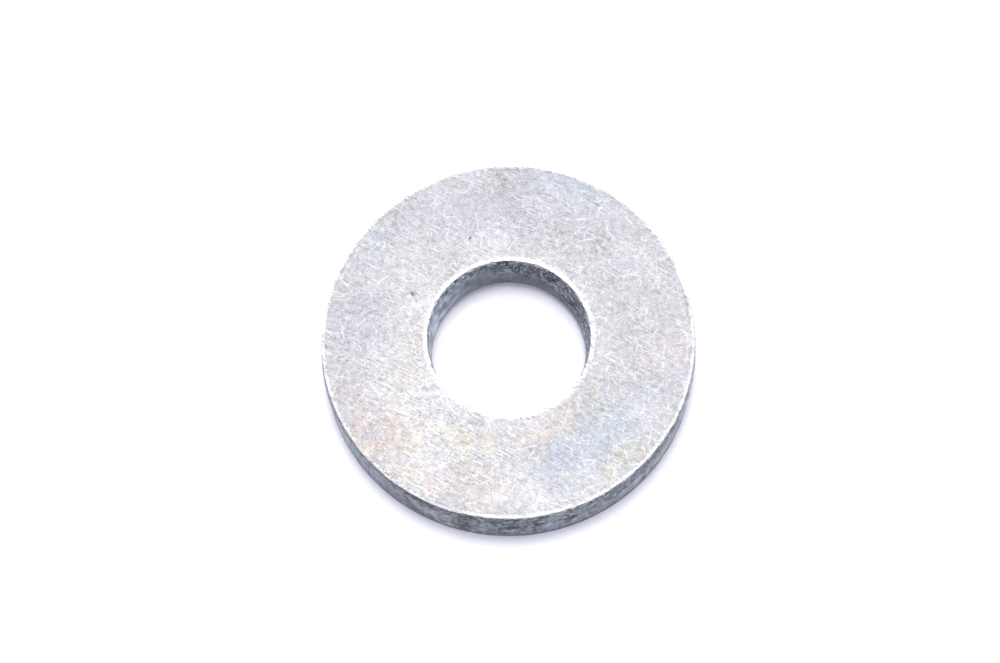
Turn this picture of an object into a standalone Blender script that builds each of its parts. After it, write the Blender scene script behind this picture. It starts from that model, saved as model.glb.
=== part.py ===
"""Heavy flat washer, blanked and pierced from thick steel plate.

The washer is one piece of metal: a flat ring with a round hole.  It stands on
its lower face with the hole's axis on +Z and the origin where that axis meets
the lower face.  Lengths are metres.

Both edges are sheared, so each wall has the same bands from the lower face up:
a rolled edge where the steel was drawn in, a straight burnished land, and a
fractured band that tapers away to the upper face.  On the outside the taper
makes the ring narrower, and in the hole it makes the hole wider.
"""

import math

import bmesh
import bpy

# Nominal size: for an M14 bolt.
OUTER_DIAMETER = 0.0360
HOLE_DIAMETER = 0.0150
THICKNESS = 0.0060

# Rolled edges round the lower face: how far each reaches across the face and up the wall.
OUTER_ROLL_WIDTH = 0.00015
OUTER_ROLL_HEIGHT = 0.00020
HOLE_ROLL_WIDTH = 0.00054
HOLE_ROLL_HEIGHT = 0.00110
ROLL_STEPS = 5

# The burnished land ends here, measured up from the lower face.
OUTER_LAND_TOP = 0.0036
HOLE_LAND_TOP = 0.0032

# How far the fractured band draws back from the land's radius at the upper face.
OUTER_BREAK = 0.00020
HOLE_BREAK = 0.00025

# Tumbled corners round the upper face.
CORNER_RADIUS = 0.00014
CORNER_STEPS = 4

# Facets around the ring, and the steepest crease that is still shaded smooth.
FACETS = 96
SMOOTH_ANGLE = math.radians(30.0)

STEEL_COLOUR = (0.66, 0.67, 0.69, 1.0)
STEEL_ROUGHNESS = 0.42
STEEL_METALLIC = 0.85


def clear_scene():
    """Remove every object that the open file holds."""
    for item in list(bpy.data.objects):
        bpy.data.objects.remove(item, do_unlink=True)


def quarter_arc(centre, radii, start_angle, steps):
    """Points of a quarter ellipse in the radius-height plane, turning anticlockwise."""
    points = []
    for step in range(steps + 1):
        angle = start_angle + 0.5 * math.pi * step / steps
        radius = centre[0] + radii[0] * math.cos(angle)
        height = centre[1] + radii[1] * math.sin(angle)
        points.append((radius, height))
    return points


def ring_profile():
    """Closed outline of the ring's section as (radius, height), anticlockwise."""
    outer = OUTER_DIAMETER / 2.0
    hole = HOLE_DIAMETER / 2.0
    outer_top = outer - OUTER_BREAK
    hole_top = hole + HOLE_BREAK
    outer_roll = (OUTER_ROLL_WIDTH, OUTER_ROLL_HEIGHT)
    hole_roll = (HOLE_ROLL_WIDTH, HOLE_ROLL_HEIGHT)
    outer_roll_centre = (outer - OUTER_ROLL_WIDTH, OUTER_ROLL_HEIGHT)
    hole_roll_centre = (hole + HOLE_ROLL_WIDTH, HOLE_ROLL_HEIGHT)
    corner = (CORNER_RADIUS, CORNER_RADIUS)
    corner_height = THICKNESS - CORNER_RADIUS

    outline = quarter_arc(outer_roll_centre, outer_roll, 1.5 * math.pi, ROLL_STEPS)
    outline.append((outer, OUTER_LAND_TOP))
    outline += quarter_arc((outer_top - CORNER_RADIUS, corner_height), corner, 0.0, CORNER_STEPS)
    outline += quarter_arc((hole_top + CORNER_RADIUS, corner_height), corner, 0.5 * math.pi, CORNER_STEPS)
    outline.append((hole, HOLE_LAND_TOP))
    outline += quarter_arc(hole_roll_centre, hole_roll, math.pi, ROLL_STEPS)
    return outline


def turned_mesh(name, outline):
    """Spin a closed section once around Z and return it as a closed mesh."""
    shape = bmesh.new()
    corners = [shape.verts.new((radius, 0.0, height)) for radius, height in outline]
    edges = []
    for index, corner in enumerate(corners):
        edges.append(shape.edges.new((corners[index - 1], corner)))
    bmesh.ops.spin(
        shape,
        geom=corners + edges,
        cent=(0.0, 0.0, 0.0),
        axis=(0.0, 0.0, 1.0),
        angle=2.0 * math.pi,
        steps=FACETS,
        use_merge=True,
    )
    bmesh.ops.recalc_face_normals(shape, faces=shape.faces)
    mesh = bpy.data.meshes.new(name)
    shape.to_mesh(mesh)
    shape.free()
    mesh.shade_smooth()
    mesh.set_sharp_from_angle(angle=SMOOTH_ANGLE)
    return mesh


def zinc_plated_steel():
    """Brushed steel with a clear zinc plating."""
    material = bpy.data.materials.new("zinc_plated_steel")
    material.use_nodes = True
    shader = material.node_tree.nodes["Principled BSDF"]
    shader.inputs["Base Color"].default_value = STEEL_COLOUR
    shader.inputs["Roughness"].default_value = STEEL_ROUGHNESS
    shader.inputs["Metallic"].default_value = STEEL_METALLIC
    return material


def build_washer():
    """The whole washer, which is a single ring of steel."""
    mesh = turned_mesh("flat_washer", ring_profile())
    mesh.materials.append(zinc_plated_steel())
    washer = bpy.data.objects.new("flat_washer", mesh)
    bpy.context.scene.collection.objects.link(washer)
    return washer


clear_scene()
build_washer()
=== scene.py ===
"""A heavy zinc-plated flat washer lying on white paper.

The ring is rebuilt as a fine mesh over the plain solid that the frame holds: torn
and burnished bands on both sheared walls, rolled edges round the lower face, and
slightly ragged corners, rounded by wear, round the upper one.  Lengths in the mesh code are
millimetres, because every feature on a washer is that small.
"""

import math
import random

import bpy
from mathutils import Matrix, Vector, noise


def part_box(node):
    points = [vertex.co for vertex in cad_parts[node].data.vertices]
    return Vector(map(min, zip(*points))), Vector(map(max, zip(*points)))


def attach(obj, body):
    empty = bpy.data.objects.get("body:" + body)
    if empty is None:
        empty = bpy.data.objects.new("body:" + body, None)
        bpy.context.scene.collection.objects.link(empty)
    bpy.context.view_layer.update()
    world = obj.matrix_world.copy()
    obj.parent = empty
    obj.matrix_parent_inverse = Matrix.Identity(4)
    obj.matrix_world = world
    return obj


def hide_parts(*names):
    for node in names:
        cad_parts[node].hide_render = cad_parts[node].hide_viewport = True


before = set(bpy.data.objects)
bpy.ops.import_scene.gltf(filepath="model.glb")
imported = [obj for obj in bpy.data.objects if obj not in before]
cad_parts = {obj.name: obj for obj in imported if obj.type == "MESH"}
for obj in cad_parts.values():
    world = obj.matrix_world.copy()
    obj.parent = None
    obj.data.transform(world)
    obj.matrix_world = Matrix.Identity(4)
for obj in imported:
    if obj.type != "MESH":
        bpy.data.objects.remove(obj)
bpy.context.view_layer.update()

MILLIMETRE = 0.001      # in metres
NODE = "flat_washer"

# ---------------------------------------------------------------- the ring's size
# Read off the frame's own solid, in millimetres.

node_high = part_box(NODE)[1]
OUTER_RADIUS = node_high[0] / MILLIMETRE
THICKNESS = node_high[2] / MILLIMETRE
solid_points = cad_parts[NODE].data.vertices
HOLE_RADIUS = min(math.hypot(point.co.x, point.co.y) for point in solid_points) / MILLIMETRE
MIDDLE_RADIUS = 0.5 * (OUTER_RADIUS + HOLE_RADIUS)

# ---------------------------------------------------------------- how it was sheared

OUTER_ROLL = (0.15, 0.20)   # rolled edges of the lower face: reach across it and up the wall
HOLE_ROLL = (0.54, 1.10)
OUTER_LAND_TOP = 3.6    # nominal height of the burnished land on the outside
HOLE_LAND_TOP = 3.2     # and in the hole: the walls draw back above these heights
LAND_WAVER = 0.60       # how far the land's upper limit wanders up and down
OUTER_LAND_RISE = 1.2   # round most of the outside the land ends this far above its nominal height
OUTER_LAND_DIP = 2.1    # and on one low stretch it ends this far below that
LOW_TURN = math.radians(-80.0)      # where the low stretch is, and its reach both ways
LOW_REACH = math.radians(55.0)
HOLE_LAND_LEAN = 1.1    # the hole's land ends this far up or down on opposite sides
LEAN_TURN = math.radians(165.0)     # the side where the hole's land is tallest
WEAR_AND_SHEEN = 1.08           # how bright the outer corner's band of wear and painted highlight is
WEAR_AND_SHEEN_GAPS = [            # where it is duller: direction, reach both ways and by how much
    (math.radians(68.0), math.radians(55.0), 0.60),
    (math.radians(228.0), math.radians(35.0), 0.50),
]
OUTER_BREAK = 0.20      # how far the torn band draws back by the upper face
HOLE_BREAK = 0.25
HOLE_LEAN = 0.08        # how far the top of the hole is pushed over, away from that side
OUTER_CORNER = 0.14     # radius of the worn corner round the upper face
HOLE_CORNER = 0.10
TEAR_DEPTH = 0.11       # relief of the torn band
SCORE_DEPTH = 0.010     # scoring on the burnished land
FACE_WAVER = 0.012      # how far the faces are from flat
CORNER_REACH = 0.5      # how far from an upper corner its teeth and chips reach
OUTER_WEAR_SHEEN_REACH = 0.56     # and how far the band of wear and painted highlight reaches, on the outside and at the hole
HOLE_WEAR_SHEEN_REACH = 0.75
NICK_SEED = 12          # seed of the small dents, then how many of them each corner has
UPPER_OUTER_NICKS = 30
UPPER_HOLE_NICKS = 9
LOWER_OUTER_NICKS = 14

# ---------------------------------------------------------------- mesh resolution

FINE_FACETS = 960       # round the outer wall
COARSE_FACETS = 480     # round the hole

# ---------------------------------------------------------------- brushed grain

GRAIN_TURN = math.radians(-31.0)    # direction of the brushed grain, from +X
GRAIN = Vector((math.cos(GRAIN_TURN), math.sin(GRAIN_TURN), 0.0))
ACROSS = Vector((-GRAIN.y, GRAIN.x, 0.0))


def fade(low, high, value):
    """0 below low, 1 above high, and a smooth climb between them."""
    share = min(max((value - low) / (high - low), 0.0), 1.0)
    return share * share * (3.0 - 2.0 * share)


# ================================================================ section

def straight(start, end, steps, bunch=1.0):
    """Points from start up to, but not including, end, closer together near start when bunch > 1
    and near end when bunch < 1."""
    points = []
    for step in range(steps):
        share = step / steps
        share = share ** bunch if bunch >= 1.0 else 1.0 - (1.0 - share) ** (1.0 / bunch)
        points.append((start[0] + (end[0] - start[0]) * share, start[1] + (end[1] - start[1]) * share))
    return points


def quarter(centre, radii, start_angle, steps):
    """Points of a quarter ellipse, turning anticlockwise and leaving out its last one."""
    points = []
    for step in range(steps):
        angle = start_angle + 0.5 * math.pi * step / steps
        points.append((centre[0] + radii[0] * math.cos(angle), centre[1] + radii[1] * math.sin(angle)))
    return points


def section():
    """Rows of the ring's section, anticlockwise: (radius, height, band, facets).

    A straight stretch is given its number of rows and how they bunch.
    """
    outer_top = OUTER_RADIUS - OUTER_BREAK
    hole_top = HOLE_RADIUS + HOLE_BREAK
    outer_roll = (OUTER_RADIUS - OUTER_ROLL[0], OUTER_ROLL[1])
    hole_roll = (HOLE_RADIUS + HOLE_ROLL[0], HOLE_ROLL[1])
    outer_corner = (outer_top - OUTER_CORNER, THICKNESS - OUTER_CORNER)
    hole_corner = (hole_top + HOLE_CORNER, THICKNESS - HOLE_CORNER)

    roll_out = quarter(outer_roll, OUTER_ROLL, 1.5 * math.pi, 6)
    roll_in = quarter(hole_roll, HOLE_ROLL, math.pi, 6)
    worn_out = quarter(outer_corner, (OUTER_CORNER, OUTER_CORNER), 0.0, 4)
    worn_in = quarter(hole_corner, (HOLE_CORNER, HOLE_CORNER), 0.5 * math.pi, 4)
    bands = [
        ("lower", FINE_FACETS, roll_out[:3]),
        ("outer", FINE_FACETS, roll_out[3:]),
        ("outer", FINE_FACETS, straight((OUTER_RADIUS, OUTER_ROLL[1]), (OUTER_RADIUS, OUTER_LAND_TOP), 16)),
        ("outer", FINE_FACETS, straight((OUTER_RADIUS, OUTER_LAND_TOP), (outer_top, outer_corner[1]), 24)),
        ("outer", FINE_FACETS, worn_out[:2]),
        ("upper", FINE_FACETS, worn_out[2:]),
        ("upper", FINE_FACETS, straight((outer_corner[0], THICKNESS), (MIDDLE_RADIUS, THICKNESS), 11, 2.2)),
        ("upper", COARSE_FACETS, straight((MIDDLE_RADIUS, THICKNESS), (hole_corner[0], THICKNESS), 12, 0.5)),
        ("upper", COARSE_FACETS, worn_in[:2]),
        ("hole", COARSE_FACETS, worn_in[2:]),
        ("hole", COARSE_FACETS, straight((hole_top, hole_corner[1]), (HOLE_RADIUS, HOLE_LAND_TOP), 26)),
        ("hole", COARSE_FACETS, straight((HOLE_RADIUS, HOLE_LAND_TOP), (HOLE_RADIUS, HOLE_ROLL[1]), 14)),
        ("hole", COARSE_FACETS, roll_in[:3]),
        ("lower", COARSE_FACETS, roll_in[3:]),
        ("lower", COARSE_FACETS, straight((hole_roll[0], 0.0), (MIDDLE_RADIUS, 0.0), 6, 1.6)),
        ("lower", FINE_FACETS, straight((MIDDLE_RADIUS, 0.0), (outer_roll[0], 0.0), 6, 0.6)),
    ]
    rows = []
    for band, facets, points in bands:
        rows += [(radius, height, band, facets) for radius, height in points]
    return rows


def outward(rows, index):
    """Unit normal of the section at a row, as (radial, upward)."""
    before = rows[index - 1]
    after = rows[(index + 1) % len(rows)]
    along = Vector((after[0] - before[0], after[1] - before[1])).normalized()
    return along.y, -along.x


# ================================================================ relief

class Nick:
    """A small dent in a corner of the ring."""

    def __init__(self, draw, radius, height):
        turn = draw.uniform(0.0, 2.0 * math.pi)
        self.place = Vector((radius * math.cos(turn), radius * math.sin(turn), height))
        self.reach = draw.uniform(0.14, 0.40)
        self.depth = draw.uniform(0.015, 0.055)

    def depth_at(self, point):
        distance = (point - self.place).length / self.reach
        return self.depth * max(0.0, 1.0 - distance * distance)


def all_nicks():
    """The dents of both upper corners and of the outside's lower edge."""
    draw = random.Random(NICK_SEED)
    upper_outer = OUTER_RADIUS - OUTER_BREAK
    upper_hole = HOLE_RADIUS + HOLE_BREAK
    nicks = [Nick(draw, upper_outer, THICKNESS) for _ in range(UPPER_OUTER_NICKS)]
    nicks += [Nick(draw, upper_hole, THICKNESS) for _ in range(UPPER_HOLE_NICKS)]
    nicks += [Nick(draw, OUTER_RADIUS, OUTER_ROLL[1]) for _ in range(LOWER_OUTER_NICKS)]
    return nicks


def outer_land_top(turn):
    """Height of the burnished land on the outside, before its line wanders."""
    low = fade(math.cos(LOW_REACH), 1.0, math.cos(turn - LOW_TURN))
    return OUTER_LAND_TOP + OUTER_LAND_RISE - OUTER_LAND_DIP * low


def hole_land_top(turn):
    """Height of the burnished land in the hole, before its line wanders."""
    return HOLE_LAND_TOP + HOLE_LAND_LEAN * math.cos(turn - LEAN_TURN)


def torn_share(point, land_top):
    """0 on the burnished land, 1 on the torn band above it."""
    slow = noise.noise(point * Vector((0.16, 0.16, 0.0)) + Vector((7.1, 0.0, 0.0)))
    quick = noise.noise(point * Vector((0.9, 0.9, 0.0)) + Vector((0.0, 3.3, 0.0)))
    ragged = noise.noise(point * Vector((2.6, 2.6, 1.0)) + Vector((0.0, 0.0, 8.0)))
    line = land_top + LAND_WAVER * (1.7 * slow + 0.9 * quick + 0.7 * ragged)
    return fade(line - 0.3, line + 0.7, point.z)


def tear_depth(point):
    """Relief of the torn band, 0 to about 1: tall tears with grit on them."""
    tall = noise.noise(point * Vector((1.3, 1.3, 0.55)))
    streak = noise.noise(point * Vector((3.2, 3.2, 1.1)) + Vector((5.0, 0.0, 0.0)))
    grit = noise.noise(point * 2.9)
    crumb = noise.noise(point * 5.6)
    return max(0.46 + 0.42 * tall + 0.34 * streak + 0.34 * grit + 0.26 * crumb, 0.0)


def score_depth(point):
    """Scoring that the press tools leave down the burnished land, 0 to about 1."""
    streak = noise.noise(point * Vector((4.2, 4.2, 0.15)))
    wave = noise.noise(point * Vector((0.8, 0.8, 0.4)))
    return max(0.5 + 0.7 * streak + 0.6 * wave, 0.0)


def face_depth(point):
    """Gentle unevenness of the rolled faces, 0 to about 1."""
    slow = noise.noise(point * Vector((0.11, 0.11, 0.4)))
    quick = noise.noise(point * Vector((0.35, 0.35, 0.9)))
    return max(0.5 + 0.5 * slow + 0.35 * quick, 0.0)


def corner_depth(point, near):
    """Wear of an upper corner, cut into teeth where the brushed grain runs off the edge."""
    radial = Vector((point.x, point.y, 0.0)).normalized()
    runs_off = abs(radial.dot(GRAIN)) ** 2
    lane = point.dot(ACROSS)
    tooth = noise.noise(Vector((lane * 2.6, 0.4 * point.dot(GRAIN), 2.0)))
    tooth = max(0.0, tooth + 0.5 * noise.noise(Vector((lane * 6.0, 0.7 * point.dot(GRAIN), 5.0))))
    wear = 0.5 + 0.5 * noise.noise(point * 0.8)
    chip = max(0.0, noise.noise(point * 2.2 + Vector((0.0, 9.0, 0.0))))
    return near * (0.28 * tooth * (0.35 + 0.65 * runs_off) + 0.03 * wear + 0.09 * chip)


def wear_and_sheen_share(turn):
    """How bright the outer corner's band of wear and painted highlight is on one side of the ring."""
    share = WEAR_AND_SHEEN
    for gap_turn, reach, loss in WEAR_AND_SHEEN_GAPS:
        share -= loss * fade(math.cos(reach), 1.0, math.cos(turn - gap_turn))
    return share


class Relief:
    """How deep the real surface lies below the plain section at a point."""

    def __init__(self):
        self.nicks = all_nicks()
        self.outer_corner = (OUTER_RADIUS - OUTER_BREAK, THICKNESS)
        self.hole_corner = (HOLE_RADIUS + HOLE_BREAK, THICKNESS)

    def near_corner(self, radius, height, outer_reach, hole_reach):
        """1 at an upper corner, falling to 0 a reach away from it."""
        best = 0.0
        for corner, reach in ((self.outer_corner, outer_reach), (self.hole_corner, hole_reach)):
            distance = math.hypot(radius - corner[0], height - corner[1])
            best = max(best, 1.0 - fade(0.1 * reach, reach, distance))
        return best

    def at(self, point, radius, wall):
        """Depth in millimetres, then the shares of torn metal, of the bright corner band (wear and painted
        highlight) and of pit.

        wall is 1 on an upright wall and 0 on a face.
        """
        near = self.near_corner(radius, point.z, CORNER_REACH, CORNER_REACH)
        wear_and_sheen = self.near_corner(radius, point.z, OUTER_WEAR_SHEEN_REACH, HOLE_WEAR_SHEEN_REACH)
        turn = math.atan2(point.y, point.x)
        land_top, roll_top = hole_land_top(turn), HOLE_ROLL[1]
        if radius > MIDDLE_RADIUS:
            land_top, roll_top = outer_land_top(turn), OUTER_ROLL[1]
            wear_and_sheen *= wear_and_sheen_share(turn)
        torn = torn_share(point, land_top) * wall
        on_roll = 1.0 - fade(0.0, roll_top, point.z)
        tear = tear_depth(point)
        score = score_depth(point)
        land = SCORE_DEPTH * score * (1.0 - 0.6 * on_roll)
        walls = land * (1.0 - torn) + TEAR_DEPTH * tear * torn * (1.0 - 0.8 * near)
        depth = FACE_WAVER * face_depth(point) * (1.0 - wall) + walls * wall + corner_depth(point, near)
        for nick in self.nicks:
            if abs(nick.place.z - point.z) < nick.reach and abs(nick.place.x - point.x) < nick.reach:
                depth += nick.depth_at(point)
        pit = min(tear * torn + score * (1.0 - torn), 1.0)
        return depth, torn, wear_and_sheen, pit


# ================================================================ unrolled map

SHEET = 74.0            # side of the square that the whole skin is laid out on
SHEET_GAP = 0.5


def sheet_place(band, x, y, turn, height):
    """Where a point of the skin lies on the sheet: faces as discs, walls as strips."""
    reach = OUTER_RADIUS + SHEET_GAP
    if band == "upper":
        place = (reach + x, reach + y)
    elif band == "lower":
        place = (3.0 * reach - x, reach + y)
    else:
        radius = OUTER_RADIUS if band == "outer" else HOLE_RADIUS
        strip = 0 if band == "outer" else 2
        if band == "outer" and turn > math.pi:
            strip = 1
            turn -= math.pi
        base = 2.0 * reach + strip * (THICKNESS + 2.0 * SHEET_GAP)
        place = (SHEET_GAP + turn * radius, base + SHEET_GAP + height)
    return place[0] / SHEET, place[1] / SHEET


# ================================================================ mesh

def pushed_over(radius, height, turn):
    """How far the metal round the top of the hole stands out from its plain radius."""
    climb = fade(HOLE_LAND_TOP - 1.0, THICKNESS, height)
    climb *= 1.0 - fade(HOLE_RADIUS + 1.0, HOLE_RADIUS + 3.0, radius)
    return -HOLE_LEAN * math.cos(turn - LEAN_TURN) * climb


def ring_points(rows):
    """Every vertex of the ring, row by row, and its shares of torn, of the bright corner band and of pit."""
    relief = Relief()
    places = []
    shares = {"torn": [], "wear_and_sheen": [], "pit": []}
    for index, (radius, height, _, facets) in enumerate(rows):
        radial, upward = outward(rows, index)
        for facet in range(facets):
            turn = 2.0 * math.pi * facet / facets
            side = Vector((math.cos(turn), math.sin(turn), 0.0))
            plain = side * (radius + pushed_over(radius, height, turn)) + Vector((0.0, 0.0, height))
            depth, torn, wear_and_sheen, pit = relief.at(plain, radius, radial * radial)
            normal = side * radial + Vector((0.0, 0.0, upward))
            places.append((plain - normal * depth) * MILLIMETRE)
            shares["torn"].append(torn)
            shares["wear_and_sheen"].append(wear_and_sheen)
            shares["pit"].append(pit)
    return places, shares


def ring_faces(rows):
    """Faces between each row and the next, as lists of (row, facet) corners."""
    faces = []
    for index, row in enumerate(rows):
        after = (index + 1) % len(rows)
        here, there = row[3], rows[after][3]
        if here == there:
            for facet in range(here):
                faces.append([(index, facet), (index, facet + 1), (after, facet + 1), (after, facet)])
        elif here > there:
            for facet in range(there):
                fine = 2 * facet
                faces.append([(index, fine), (index, fine + 1), (after, facet)])
                faces.append([(index, fine + 1), (after, facet + 1), (after, facet)])
                faces.append([(index, fine + 1), (index, fine + 2), (after, facet + 1)])
        else:
            for facet in range(here):
                fine = 2 * facet
                faces.append([(index, facet), (after, fine + 1), (after, fine)])
                faces.append([(index, facet), (index, facet + 1), (after, fine + 1)])
                faces.append([(index, facet + 1), (after, fine + 2), (after, fine + 1)])
    return faces


def build_ring():
    """The whole ring as one closed mesh, with its shares and its unrolled map."""
    rows = section()
    places, shares = ring_points(rows)
    faces = ring_faces(rows)
    starts = [0]
    for row in rows:
        starts.append(starts[-1] + row[3])

    corners = []
    sheet = []
    for face in faces:
        band = rows[face[0][0]][2]
        first_half = face[0][1] < rows[face[0][0]][3] // 2
        ids = []
        for row_index, facet in face:
            radius, height, _, facets = rows[row_index]
            ids.append(starts[row_index] + facet % facets)
            turn = 2.0 * math.pi * facet / facets
            if not first_half:
                turn = max(turn, math.pi + 1e-6)
            sheet += sheet_place(band, radius * math.cos(turn), radius * math.sin(turn), turn, height)
        corners.append(ids)

    mesh = bpy.data.meshes.new("washer_ring")
    mesh.from_pydata(places, [], corners)
    mesh.uv_layers.new(name="OFBake").data.foreach_set("uv", sheet)
    for name, values in shares.items():
        mesh.attributes.new(name, "FLOAT", "POINT").data.foreach_set("value", values)
    mesh.shade_smooth()
    mesh.update()
    ring = bpy.data.objects.new("washer_ring", mesh)
    bpy.context.scene.collection.objects.link(ring)
    return ring


# ================================================================ materials

class Nodes:
    """Adds nodes to a tree.  An input may be given a socket, a number or a tuple."""

    def __init__(self, tree):
        self.tree = tree

    def put(self, socket, value):
        if isinstance(value, bpy.types.NodeSocket):
            self.tree.links.new(value, socket)
        else:
            socket.default_value = value

    def add(self, kind, inputs, **settings):
        node = self.tree.nodes.new(kind)
        for name, value in settings.items():
            setattr(node, name, value)
        for name, value in inputs.items():
            self.put(node.inputs[name], value)
        return node

    def math(self, operation, first, second=0.0):
        return self.add("ShaderNodeMath", {0: first, 1: second}, operation=operation).outputs[0]

    def vector(self, operation, first, second):
        node = self.add("ShaderNodeVectorMath", {0: first, 1: second}, operation=operation)
        return node.outputs["Value" if operation == "DISTANCE" else "Vector"]

    def product(self, *values):
        result = values[0]
        for value in values[1:]:
            result = self.math("MULTIPLY", result, value)
        return result

    def total(self, *values):
        result = values[0]
        for value in values[1:]:
            result = self.math("ADD", result, value)
        return result

    def ramp(self, value, low, high, to_low=0.0, to_high=1.0):
        """Smooth climb from to_low, where value is low, to to_high, where it is high."""
        node = self.add(
            "ShaderNodeMapRange",
            {"Value": value, "From Min": low, "From Max": high, "To Min": to_low, "To Max": to_high},
            interpolation_type="SMOOTHSTEP",
        )
        return node.outputs["Result"]

    def noise(self, place, scale=1.0, detail=2.0, roughness=0.5):
        """Noise in the range 0 to 1, with features about 1 / scale apart."""
        node = self.add(
            "ShaderNodeTexNoise",
            {"Vector": place, "Scale": scale, "Detail": detail, "Roughness": roughness},
        )
        return node.outputs["Fac"]

    def swing(self, value, size):
        """Turns 0 to 1 into -size to +size."""
        return self.math("MULTIPLY", self.math("SUBTRACT", value, 0.5), 2.0 * size)

    def blend(self, share, first, second):
        node = self.add("ShaderNodeMix", {"Factor": share}, data_type="RGBA")
        self.put(node.inputs["A"], first)
        self.put(node.inputs["B"], second)
        return node.outputs["Result"]

    def tint(self, colour, value):
        """A colour times a grey value."""
        return self.vector("MULTIPLY", colour, self.grey(value))

    def grey(self, value):
        return self.add("ShaderNodeCombineXYZ", {"X": value, "Y": value, "Z": value}).outputs[0]

    def stretch(self, place, factors):
        return self.vector("MULTIPLY", place, factors)

    def shift(self, place, offset):
        return self.vector("ADD", place, offset)

    def wandering(self, place, reach, **pattern):
        """Moves places about sideways, by up to half a reach each way."""
        wander = self.add("ShaderNodeTexNoise", {"Vector": place, **pattern}).outputs["Color"]
        wander = self.vector("SUBTRACT", wander, (0.5, 0.5, 0.5))
        return self.vector("ADD", place, self.stretch(wander, (reach, reach, 0.0)))


def hairline_group():
    """One straight hairline scratch in each cell of a grid, at a random place and angle."""
    tree = bpy.data.node_groups.new("hairlines", "ShaderNodeTree")
    face = tree.interface
    face.new_socket("Place", in_out="INPUT", socket_type="NodeSocketVector")
    for name in ("Cell", "Length", "Width", "Presence", "Seed"):
        face.new_socket(name, in_out="INPUT", socket_type="NodeSocketFloat")
    face.new_socket("Line", in_out="OUTPUT", socket_type="NodeSocketFloat")
    make = Nodes(tree)
    given = tree.nodes.new("NodeGroupInput").outputs
    result = tree.nodes.new("NodeGroupOutput")

    size = make.grey(given["Cell"])
    grid = make.vector("DIVIDE", given["Place"], size)
    grid = make.vector("ADD", grid, make.grey(make.product(given["Seed"], 7.31)))
    flat = make.stretch(grid, (1.0, 1.0, 0.0))
    cell = make.add("ShaderNodeVectorMath", {0: flat}, operation="FLOOR").outputs[0]
    draw = make.add("ShaderNodeTexWhiteNoise", {"Vector": cell, "W": given["Seed"]}, noise_dimensions="4D")
    random_parts = make.add("ShaderNodeSeparateXYZ", {"Vector": draw.outputs["Color"]}).outputs
    middle = make.vector("SUBTRACT", make.vector("SUBTRACT", flat, cell), (0.5, 0.5, 0.0))
    jitter = make.vector("SUBTRACT", draw.outputs["Color"], (0.5, 0.5, 0.5))
    jitter = make.stretch(jitter, (0.4, 0.4, 0.0))
    local = make.vector("MULTIPLY", make.vector("SUBTRACT", middle, jitter), size)
    angle = make.product(random_parts[2], 2.0 * math.pi)
    turned = make.add("ShaderNodeVectorRotate", {"Vector": local, "Angle": angle}, rotation_type="Z_AXIS")
    parts = make.add("ShaderNodeSeparateXYZ", {"Vector": turned.outputs[0]}).outputs
    along = make.math("ABSOLUTE", parts[0])
    across = make.math("ABSOLUTE", parts[1])
    ends = make.ramp(along, make.product(given["Length"], 0.2), make.product(given["Length"], 0.5), 1.0, 0.0)
    sides = make.ramp(across, 0.0, given["Width"], 1.0, 0.0)
    here = make.math("LESS_THAN", draw.outputs["Value"], given["Presence"])
    strength = make.ramp(random_parts[0], 0.0, 1.0, 0.25, 1.0)
    tree.links.new(make.product(ends, sides, here, strength), result.inputs["Line"])
    return tree


SCRATCH_WANDER = 0.8    # how far scratches bend, in millimetres
STAIN_WANDER = 6.0      # how far the outlines of stains and of pits stray
PIT_WANDER = 0.7

# Hairline layers: cell, length, width and how many cells hold one.
FINE_HAIRLINES = [
    (1.3, 0.9, 0.060, 0.85),
    (1.7, 1.3, 0.065, 0.80),
    (1.1, 0.7, 0.055, 0.85),
    (2.3, 1.8, 0.065, 0.75),
]
LONG_HAIRLINES = [
    (4.1, 2.9, 0.080, 0.60),
    (5.3, 3.8, 0.085, 0.45),
    (8.7, 6.0, 0.090, 0.35),
]


def hairlines(make, group, place, layers, first_seed):
    """The strongest of several layers of scratches."""
    strongest = None
    for index, (cell, length, width, presence) in enumerate(layers):
        seed = first_seed + index
        turned = make.add(
            "ShaderNodeVectorRotate", {"Vector": place, "Angle": 0.7 * seed}, rotation_type="Z_AXIS"
        ).outputs[0]
        layer = make.add("ShaderNodeGroup", {}, node_tree=group)
        values = {"Place": turned, "Cell": cell, "Length": length, "Width": width}
        values.update({"Presence": presence, "Seed": float(seed)})
        for name, value in values.items():
            make.put(layer.inputs[name], value)
        line = layer.outputs["Line"]
        strongest = line if strongest is None else make.math("MAXIMUM", strongest, line)
    return strongest
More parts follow.
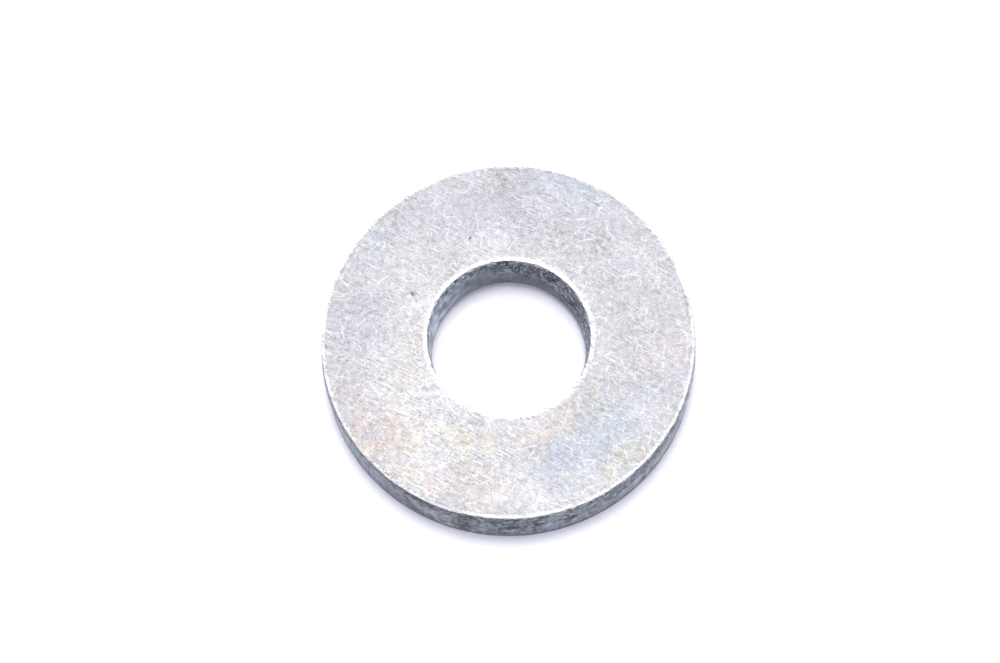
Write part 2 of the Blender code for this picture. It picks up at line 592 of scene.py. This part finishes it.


# Stains of the clear passivate, with patches of painted light, sheen and shade among them: x and y of the
# middle, long and short radius, all on a ring of unit radius, turn in degrees, colour and strength.  The
# colours multiply the metal's own.
WARM = (1.06, 0.985, 0.925)
# partly paler plating, partly painted sheen on the near and left side
PALE_AND_SHEEN = (1.09, 1.09, 1.08)
STRAW = (1.03, 1.0, 0.91)
BLUE = (0.865, 0.93, 0.985)
LILAC = (0.955, 0.945, 1.02)
# partly duller plating, partly painted shade, mostly on the far side
DULL_AND_SHADE = (0.91, 0.91, 0.92)
OLIVE = (1.06, 1.05, 0.83)
MAUVE = (0.84, 0.77, 0.80)
TAN = (0.95, 0.91, 0.87)
UNCHANGED = (1.0, 1.0, 1.0, 1.0)
FACE_STAINS = [
    (-0.30, -0.56, 0.48, 0.32, -25.0, PALE_AND_SHEEN, 1.0),
    (-0.46, 0.14, 0.20, 0.14, 70.0, PALE_AND_SHEEN, 0.9),
    (-0.10, -0.86, 0.34, 0.10, 0.0, PALE_AND_SHEEN, 0.8),
    (-0.85, 0.22, 0.15, 0.10, 75.0, PALE_AND_SHEEN, 0.8),
    (0.34, -0.89, 0.52, 0.08, 20.0, PALE_AND_SHEEN, 0.7),
    (0.77, 0.02, 0.20, 0.20, 0.0, DULL_AND_SHADE, 0.9),
    (0.58, 0.66, 0.30, 0.12, -45.0, DULL_AND_SHADE, 0.7),
    (0.05, 0.74, 0.34, 0.20, 20.0, DULL_AND_SHADE, 0.8),
    (-0.69, 0.60, 0.26, 0.13, 45.0, DULL_AND_SHADE, 0.8),
    (-0.84, -0.22, 0.14, 0.10, 80.0, DULL_AND_SHADE, 0.8),
    (0.27, -0.46, 0.14, 0.11, 30.0, TAN, 1.0),
    (-0.52, -0.10, 0.28, 0.16, 80.0, STRAW, 0.5),
    (0.0, 0.0, 0.66, 0.66, 0.0, PALE_AND_SHEEN, 0.9),
    (-0.68, -0.53, 0.38, 0.22, -45.0, WARM, 1.0),
    (-0.24, -0.81, 0.30, 0.12, -12.0, WARM, 0.8),
    (0.09, -0.53, 0.21, 0.08, 15.0, WARM, 0.6),
    (-0.30, -0.55, 0.28, 0.12, -20.0, STRAW, 0.9),
    (0.42, -0.57, 0.42, 0.15, 36.0, BLUE, 1.0),
    (0.20, -0.71, 0.16, 0.11, 20.0, LILAC, 0.5),
    (0.36, 0.84, 0.29, 0.11, -18.0, BLUE, 0.8),
    (-0.70, 0.56, 0.20, 0.08, 50.0, BLUE, 0.5),
    (0.80, -0.12, 0.20, 0.15, 10.0, WARM, 0.5),
    (0.60, -0.73, 0.23, 0.09, 35.0, STRAW, 0.8),
    (0.45, -0.42, 0.14, 0.08, 30.0, STRAW, 0.7),
    (-0.77, 0.10, 0.20, 0.16, 55.0, LILAC, 0.9),
    (0.02, 0.70, 0.56, 0.17, 0.0, LILAC, 0.5),
]
# painted light and painted shade on the walls: the first lightens the right of the outside and the left of
# the hole, the second darkens the near side of the outside and the far right of the hole
PAINTED_LIGHT = (2.60, 2.55, 2.45)
PAINTED_SHADE = (0.54, 0.55, 0.57)
WALL_STAINS = [
    # the first two rows are painted light, the next two painted shade
    (0.94, -0.34, 0.60, 0.40, 60.0, PAINTED_LIGHT, 0.15),
    (-0.40, 0.13, 0.30, 0.30, 0.0, PAINTED_LIGHT, 0.68),
    (0.17, 0.40, 0.40, 0.40, 0.0, PAINTED_SHADE, 0.9),
    (-0.34, -0.94, 0.45, 0.45, 0.0, PAINTED_SHADE, 0.45),
    (-0.30, -0.95, 0.09, 0.05, 0.0, OLIVE, 0.9),
    (0.80, -0.60, 0.16, 0.10, 50.0, OLIVE, 0.6),
    (0.10, 0.99, 0.14, 0.08, 0.0, OLIVE, 0.7),
    (-0.60, -0.80, 0.26, 0.16, -40.0, MAUVE, 1.0),
    (0.95, 0.30, 0.16, 0.10, 70.0, BLUE, 0.8),
]


def stained(make, colour, place, stains):
    """Lays the passivate's faint rainbow stains over a colour, and the patches of painted light, sheen and
    shade listed with them.
    """
    loose = make.wandering(place, STAIN_WANDER, Scale=0.40, Detail=4.0, Roughness=0.65)
    broken = make.ramp(make.noise(place, 0.9, 1.5, 0.5), 0.36, 0.62, 0.40, 1.40)
    for x, y, long_radius, short_radius, turn, shade, strength in stains:
        local = make.add("ShaderNodeMapping", {
            "Vector": loose,
            "Location": (x * OUTER_RADIUS, y * OUTER_RADIUS, 0.0),
            "Rotation": (0.0, 0.0, math.radians(turn)),
            "Scale": (long_radius * OUTER_RADIUS, short_radius * OUTER_RADIUS, 1000.0),
        }, vector_type="TEXTURE").outputs[0]
        distance = make.add("ShaderNodeVectorMath", {0: local}, operation="LENGTH").outputs["Value"]
        share = make.product(make.ramp(distance, 0.15, 1.25, strength, 0.0), broken)
        colour = make.vector("MULTIPLY", colour, make.blend(share, UNCHANGED, (*shade, 1.0)))
    return colour


def iridescent(make, colour, place):
    """Small drifts of hue, warm to cool and green to pink, that the passivate shows all over."""
    warmth = make.swing(make.noise(place, 0.9, 1.0, 0.5), 0.032)
    green = make.swing(make.noise(make.shift(place, (40.0, 0.0, 0.0)), 0.9, 1.0, 0.5), 0.048)
    shade = {
        "X": make.total(1.0, warmth),
        "Y": make.total(1.0, green),
        "Z": make.math("SUBTRACT", 1.0, warmth),
    }
    return make.vector("MULTIPLY", colour, make.add("ShaderNodeCombineXYZ", shade).outputs[0])


# Rust pits on the upper face: x, y and radius on a ring of unit radius.
PITS = [
    (-0.497, 0.270, 0.016),
    (-0.404, 0.571, 0.010),
    (-0.172, 0.575, 0.010),
]
PIT_COLOUR = (0.165, 0.14, 0.115)
RUST_SHADE = (1.03, 0.95, 0.86)


def pitted(make, colour, place):
    """Darkens a few pits, each with a ragged outline and a warm rim."""
    loose = make.wandering(place, PIT_WANDER, Scale=2.6, Detail=2.0)
    for x, y, radius in PITS:
        middle = (-x * OUTER_RADIUS, -y * OUTER_RADIUS, -THICKNESS)
        local = make.shift(loose, middle)
        distance = make.add("ShaderNodeVectorMath", {0: local}, operation="LENGTH").outputs["Value"]
        size = radius * OUTER_RADIUS
        rim = make.ramp(distance, 0.6 * size, 2.0 * size, 0.6, 0.0)
        colour = make.vector("MULTIPLY", colour, make.blend(rim, UNCHANGED, (*RUST_SHADE, 1.0)))
        hollow = make.ramp(distance, 0.5 * size, size, 0.95, 0.0)
        colour = make.blend(hollow, colour, (*PIT_COLOUR, 1.0))
    return colour


FACE_COLOUR = (0.393, 0.393, 0.416)
# walls darker than the faces: partly the duller sheared metal, partly painted shade and painted reflection
# of their surroundings
LAND_COLOUR = (0.184, 0.206, 0.238)
TORN_COLOUR = (0.106, 0.1235, 0.149)
FOOT_SHADE_COLOUR = (0.082, 0.082, 0.091)     # painted shade along the bottom of the walls, where they meet the paper
WEAR_AND_SHEEN_COLOUR = (0.70, 0.70, 0.71)      # corners lightened by wear and by painted highlight

BRUSHED_MIDDLE = (-0.45, -0.45)     # where the brushing is strongest, on a ring of unit radius
SCORCH_MIDDLE = (-0.15, -0.98)      # middle of the outside's most mottled stretch
SCORCH_HEIGHT = 3.0                 # its height, and how far it reaches, in millimetres
SCORCH_NEAR = 4.0
SCORCH_FAR = 13.0
BROW_BOTTOM = THICKNESS - 2.6       # the walls darken a little between these heights
BROW_TOP = THICKNESS - 0.8
FOOT_FULL = 0.50                    # the painted shade at the bottom of the walls fades out between these heights
FOOT_END = 1.30
BUMP_DISTANCE = MILLIMETRE          # what a bump height of 1 stands for


def face_pattern(make, place, grain_place):
    """Brushed streaks, crumpled polish marks, sparkle and scratches of the faces."""
    parts = {}
    parts["streak"] = make.noise(make.stretch(grain_place, (1.2, 6.0, 2.0)), 1.0, 3.0, 0.6)
    parts["thread"] = make.noise(make.stretch(grain_place, (0.45, 9.0, 2.0)), 1.0, 2.0, 0.6)
    middle = (BRUSHED_MIDDLE[0] * OUTER_RADIUS, BRUSHED_MIDDLE[1] * OUTER_RADIUS, THICKNESS)
    brushed = make.vector("DISTANCE", place, middle)
    parts["lane"] = make.total(
        make.ramp(make.noise(place, 0.35, 3.0, 0.6), 0.40, 0.62, 0.15, 0.75),
        make.ramp(brushed, 0.2 * OUTER_RADIUS, 0.75 * OUTER_RADIUS, 0.25, 0.0),
    )
    parts["speckle"] = make.noise(place, 5.5, 2.0, 0.65)
    parts["flake"] = make.noise(place, 2.0, 3.0, 0.6)
    parts["patch"] = make.noise(make.stretch(grain_place, (0.6, 1.0, 1.0)), 0.8, 3.0, 0.6)
    parts["cloud"] = make.noise(make.stretch(place, (1.0, 1.0, 3.0)), 0.16, 3.0, 0.6)

    bent = make.wandering(place, SCRATCH_WANDER, Scale=0.55, Detail=2.0)
    mask = make.ramp(make.noise(place, 1.3, 2.0, 0.6), 0.40, 0.60)
    foil = make.noise(make.stretch(place, (1.0, 1.0, 0.3)), 2.3, 1.5, 0.6)
    foil = make.math("ABSOLUTE", make.math("SUBTRACT", foil, 0.5))
    parts["foil"] = make.product(make.ramp(foil, 0.0, 0.10, 1.0, 0.0), mask)

    cells = make.add("ShaderNodeTexVoronoi", {"Vector": grain_place, "Scale": 3.6, "Randomness": 1.0})
    lot = make.add("ShaderNodeSeparateXYZ", {"Vector": cells.outputs["Color"]}).outputs[0]
    few = make.ramp(lot, 0.72, 0.96)
    parts["glint"] = make.product(few, make.ramp(cells.outputs["Distance"], 0.05, 0.36, 1.0, 0.0))

    group = hairline_group()
    parts["fine"] = hairlines(make, group, bent, FINE_HAIRLINES, 1)
    parts["long"] = hairlines(make, group, bent, LONG_HAIRLINES, 11)
    return parts


def face_value(make, face):
    """How light the faces are, as a multiple of their colour."""
    return make.total(
        0.95,
        make.product(make.swing(face["streak"], 0.58), face["lane"]),
        make.product(make.swing(face["thread"], 0.58), face["lane"]),
        make.swing(face["speckle"], 0.42),
        make.swing(face["flake"], 0.40),
        make.swing(face["patch"], 0.35),
        make.swing(face["cloud"], 0.26),
        make.product(face["foil"], 0.10),
        # painted highlights: the glints, and the shine of the scratches below, are laid into the colour
        make.product(face["glint"], 0.32),
        make.product(face["fine"], 0.30),
        make.product(face["long"], 0.42),
    )


def wall_pattern(make, place):
    """Scoring, mottle and crumbs of the walls, and where each kind of wall lies."""
    parts = {}
    parts["score"] = make.noise(make.stretch(place, (4.0, 4.0, 0.35)), 1.0, 3.0, 0.6)
    parts["mottle"] = make.noise(make.stretch(place, (1.7, 1.7, 0.8)), 1.0, 4.0, 0.65)
    parts["blotch"] = make.noise(place, 0.45, 3.0, 0.6)
    parts["crumbs"] = make.noise(make.stretch(place, (1.0, 1.0, 0.5)), 2.6, 2.0, 0.7)
    parts["clumps"] = make.ramp(make.noise(place, 0.6, 2.0, 0.6), 0.42, 0.58, 0.25, 1.0)
    axis_distance = make.vector("DISTANCE", make.stretch(place, (1.0, 1.0, 0.0)), (0.0, 0.0, 0.0))
    parts["outside"] = make.ramp(axis_distance, HOLE_RADIUS + 2.0, OUTER_RADIUS - 2.0)
    middle = (SCORCH_MIDDLE[0] * OUTER_RADIUS, SCORCH_MIDDLE[1] * OUTER_RADIUS, SCORCH_HEIGHT)
    scorched = make.vector("DISTANCE", place, middle)
    scorched = make.ramp(scorched, SCORCH_NEAR, SCORCH_FAR, 1.0, 0.0)
    parts["scorched"] = make.product(scorched, parts["outside"])
    return parts


def bands_colour(make, wall, torn, pit):
    """Smooth blue-grey land with scoring, and a darker torn band with crumbs painted bright as glints."""
    outside, scorched = wall["outside"], wall["scorched"]
    mottle, blotch, crumbs = wall["mottle"], wall["blotch"], wall["crumbs"]
    busy = make.ramp(scorched, 0.0, 1.0, 1.0, 1.8)
    # the mottle is partly the metal's own tone, partly painted light and shade of the torn relief
    land_value = make.total(
        1.0,
        make.product(make.swing(mottle, 1.3), make.ramp(outside, 0.0, 1.0, 0.4, 1.0), busy),
        make.product(make.swing(blotch, 0.8), make.ramp(scorched, 0.0, 1.0, 1.0, 3.2)),
        make.product(make.ramp(crumbs, 0.58, 0.66), outside, 0.3),
    )
    torn_value = make.total(
        1.25,
        # darker where the relief lies deeper
        make.product(pit, -0.5),
        make.product(make.swing(mottle, 3.0), make.ramp(outside, 0.0, 1.0, 1.0, 0.62), busy),
        make.product(make.swing(blotch, 1.2), make.ramp(scorched, 0.0, 1.0, 1.0, 3.0)),
        # crumbs painted bright, as glints
        make.product(make.ramp(crumbs, 0.56, 0.62), wall["clumps"], make.ramp(outside, 0.0, 1.0, 3.8, 0.9)),
    )
    land_value = make.total(make.math("MAXIMUM", land_value, 0.35), make.swing(wall["score"], 0.4))
    land_colour = make.tint(LAND_COLOUR, land_value)
    torn_colour = make.tint(TORN_COLOUR, make.math("MAXIMUM", torn_value, 0.25))
    return make.blend(torn, land_colour, torn_colour)


def with_foot_shade(make, colour, wall, height):
    """Darkens a wall towards its top and lays painted shade over its bottom, where it meets the paper: the
    colour and that shade's share.
    """
    outside, scorched = wall["outside"], wall["scorched"]
    ragged_height = make.total(height, make.swing(wall["mottle"], 0.6))
    brow_value = make.product(
        make.ramp(outside, 0.0, 1.0, 0.98, 0.85), make.ramp(scorched, 0.0, 1.0, 1.0, 0.85)
    )
    brow = make.ramp(ragged_height, BROW_BOTTOM, BROW_TOP, 1.0, brow_value)
    colour = make.tint(colour, brow)
    # painted shade along the bottom of each wall, where it meets the paper
    foot_shade = make.ramp(ragged_height, FOOT_FULL, FOOT_END, 0.95, 0.0)
    foot_shade_value = make.total(1.0, make.swing(wall["score"], 1.0), make.swing(wall["mottle"], 0.8))
    return make.blend(foot_shade, colour, make.tint(FOOT_SHADE_COLOUR, foot_shade_value)), foot_shade


def wear_and_sheen_value(make, face, wear_and_sheen, flat):
    """How far the metal is lightened, partly for wear and partly as painted highlight: the corners, and the
    face just round the hole.
    """
    rounding = make.product(make.ramp(flat, 0.80, 0.985, 1.0, 0.0), make.ramp(wear_and_sheen, 0.3, 0.6))
    rounding = make.product(rounding, make.ramp(face["flake"], 0.38, 0.50, 0.35, 1.0))
    polish = make.total(wear_and_sheen, make.swing(face["streak"], 0.7), make.swing(face["speckle"], 0.6))
    polish = make.ramp(make.product(polish, make.ramp(wear_and_sheen, 0.0, 0.3)), 0.10, 1.05, 0.0, 0.9)
    return make.math("MAXIMUM", rounding, polish)


def relief_height(make, face, wall, torn, on_face):
    """Height of the fine relief that is too small for the mesh, in millimetres."""
    grain_height = make.total(
        make.product(face["streak"], 0.012),
        make.product(face["thread"], 0.006),
        make.product(face["speckle"], 0.008),
        make.product(face["fine"], -0.004),
        make.product(face["long"], -0.006),
    )
    tears = make.total(make.product(wall["crumbs"], 0.040), make.product(wall["mottle"], 0.05))
    wall_height = make.total(make.product(wall["score"], 0.006), make.product(torn, tears))
    return make.total(
        make.product(on_face, grain_height),
        make.product(make.math("SUBTRACT", 1.0, on_face), wall_height),
    )


def zinc_material():
    """Clear zinc plating: brushed, scratched and stained faces and darker sheared walls."""
    material = bpy.data.materials.new("zinc_plated_steel")
    material.use_nodes = True
    tree = material.node_tree
    shader = tree.nodes["Principled BSDF"]
    make = Nodes(tree)

    coordinates = tree.nodes.new("ShaderNodeTexCoord")
    place = make.stretch(coordinates.outputs["Object"], (1.0 / MILLIMETRE,) * 3)
    grain_place = make.add(
        "ShaderNodeVectorRotate", {"Vector": place, "Angle": -GRAIN_TURN}, rotation_type="Z_AXIS"
    ).outputs[0]
    height = make.add("ShaderNodeSeparateXYZ", {"Vector": place}).outputs[2]
    torn = make.add("ShaderNodeAttribute", {}, attribute_name="torn").outputs["Fac"]
    wear_and_sheen = make.add("ShaderNodeAttribute", {}, attribute_name="wear_and_sheen").outputs["Fac"]
    pit = make.add("ShaderNodeAttribute", {}, attribute_name="pit").outputs["Fac"]
    normal = tree.nodes.new("ShaderNodeNewGeometry").outputs["Normal"]
    upward = make.add("ShaderNodeSeparateXYZ", {"Vector": normal}).outputs[2]
    flat = make.math("ABSOLUTE", upward)

    face = face_pattern(make, place, grain_place)
    face_colour = make.tint(FACE_COLOUR, face_value(make, face))
    face_colour = stained(make, face_colour, place, FACE_STAINS)
    face_colour = iridescent(make, face_colour, place)
    face_colour = pitted(make, face_colour, place)

    wall = wall_pattern(make, place)
    wall_colour = bands_colour(make, wall, torn, pit)
    wall_colour = stained(make, wall_colour, place, WALL_STAINS)
    wall_colour, foot_shade = with_foot_shade(make, wall_colour, wall, height)

    on_face = make.ramp(make.total(flat, make.swing(face["speckle"], 0.10)), 0.06, 0.30)
    off_face = make.math("SUBTRACT", 1.0, on_face)
    colour = make.blend(on_face, wall_colour, face_colour)
    # the corners and the face round the hole are lightened for wear, with painted highlight over it
    wear_sheen = make.product(wear_and_sheen_value(make, face, wear_and_sheen, flat), on_face)
    colour = make.blend(wear_sheen, colour, (*WEAR_AND_SHEEN_COLOUR, 1.0))

    # where the bottom of a wall is painted as shade it is made less metallic too, so it stays dark
    metallic = make.product(make.math("SUBTRACT", 1.0, make.product(foot_shade, off_face)), 0.9)
    roughness = make.total(
        make.ramp(on_face, 0.0, 1.0, 0.52, 0.66),
        make.product(torn, 0.12),
        make.swing(face["patch"], 0.10),
        make.product(face["fine"], -0.08),
    )
    relief = relief_height(make, face, wall, torn, on_face)
    bump = make.add("ShaderNodeBump", {"Height": relief, "Strength": 1.0, "Distance": BUMP_DISTANCE})

    make.put(shader.inputs["Base Color"], colour)
    make.put(shader.inputs["Roughness"], roughness)
    make.put(shader.inputs["Normal"], bump.outputs["Normal"])
    make.put(shader.inputs["Metallic"], metallic)
    return material


# ================================================================ stage

PAPER_COLOUR = (0.85, 0.85, 0.95)
PAPER_REACH = 0.5                   # metres from the middle to each side
SKY_LOW = (1.25, 1.27, 1.33)        # studio light from the sides
SKY_HIGH = (0.72, 0.72, 0.73)       # and from overhead

KEY_AZIMUTH = 179.0                 # soft lamp behind the washer, almost overhead
KEY_ELEVATION = 81.5
KEY_DISTANCE = 0.5
KEY_SIZE = 0.18
KEY_POWER = 2.25
KEY_COLOUR = (1.0, 0.985, 0.97)


def paper_material():
    """Matt white paper with a faint fibre."""
    material = bpy.data.materials.new("paper")
    material.use_nodes = True
    tree = material.node_tree
    shader = tree.nodes["Principled BSDF"]
    make = Nodes(tree)
    place = tree.nodes.new("ShaderNodeTexCoord").outputs["Object"]
    fibre = make.noise(place, 900.0, 3.0, 0.6)
    colour = make.tint(PAPER_COLOUR, make.total(0.985, make.swing(fibre, 0.012)))
    make.put(shader.inputs["Base Color"], colour)
    shader.inputs["Roughness"].default_value = 0.95
    shader.inputs["Specular IOR Level"].default_value = 0.1
    return material


def paper():
    """A flat square sheet under the washer."""
    mesh = bpy.data.meshes.new("paper")
    reach = PAPER_REACH
    places = [(-reach, -reach, 0.0), (reach, -reach, 0.0), (reach, reach, 0.0), (-reach, reach, 0.0)]
    mesh.from_pydata(places, [], [(0, 1, 2, 3)])
    mesh.materials.append(paper_material())
    sheet = bpy.data.objects.new("paper", mesh)
    bpy.context.scene.collection.objects.link(sheet)
    return sheet


def direction(azimuth, elevation):
    """Unit vector out from the middle: azimuth 0 is the viewer's side and 90 the right."""
    a, e = math.radians(azimuth), math.radians(elevation)
    return Vector((math.sin(a) * math.cos(e), -math.cos(a) * math.cos(e), math.sin(e)))


def key_light():
    """One round soft lamp, aimed at the middle."""
    data = bpy.data.lights.new("key", "AREA")
    data.shape = "DISK"
    data.size = KEY_SIZE
    data.energy = KEY_POWER
    data.color = KEY_COLOUR
    light = bpy.data.objects.new("key", data)
    back = direction(KEY_AZIMUTH, KEY_ELEVATION)
    light.location = back * KEY_DISTANCE
    light.rotation_euler = back.to_track_quat("Z", "Y").to_euler()
    bpy.context.scene.collection.objects.link(light)


def studio_world():
    """A light tent: bright sides under a dimmer top."""
    world = bpy.data.worlds.new("studio")
    world.use_nodes = True
    tree = world.node_tree
    make = Nodes(tree)
    background = tree.nodes["Background"]
    way = tree.nodes.new("ShaderNodeTexCoord").outputs["Generated"]
    height = make.add("ShaderNodeSeparateXYZ", {"Vector": way}).outputs[2]
    sky = make.blend(make.ramp(height, 0.2, 0.95), (*SKY_LOW, 1.0), (*SKY_HIGH, 1.0))
    make.put(background.inputs["Color"], sky)
    background.inputs["Strength"].default_value = 1.0
    bpy.context.scene.world = world


CAMERA_ELEVATION = 70.35            # degrees above the paper
CAMERA_DISTANCE = 0.1873            # metres from the aim
CAMERA_ROLL = 2.89                  # degrees
CAMERA_LENS = 70.9                  # millimetres, on a sensor 36 mm wide
SENSOR_WIDTH = 36.0
AIM_RIGHT = -0.00076                # metres from the middle of the upper face, in the picture's
AIM_UP = 0.00049                    # own directions


def camera():
    """Looks down on the washer from its front, rolled a little clockwise."""
    data = bpy.data.cameras.new("camera")
    data.sensor_width = SENSOR_WIDTH
    data.lens = CAMERA_LENS
    data.clip_start = 0.005
    data.clip_end = 10.0
    viewer = bpy.data.objects.new("camera", data)
    back = direction(0.0, CAMERA_ELEVATION)
    viewer.rotation_euler = back.to_track_quat("Z", "Y").to_euler()
    viewer.rotation_euler.rotate_axis("Z", math.radians(-CAMERA_ROLL))
    turn = viewer.rotation_euler.to_matrix()
    aim = Vector((0.0, 0.0, THICKNESS * MILLIMETRE)) + turn.col[0] * AIM_RIGHT + turn.col[1] * AIM_UP
    viewer.location = aim + back * CAMERA_DISTANCE
    bpy.context.scene.collection.objects.link(viewer)
    bpy.context.scene.camera = viewer


washer = build_ring()
washer.data.materials.append(zinc_material())
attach(washer, "root")
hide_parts(NODE)

paper()
studio_world()
key_light()
camera()
bpy.context.scene.view_settings.view_transform = "Standard"
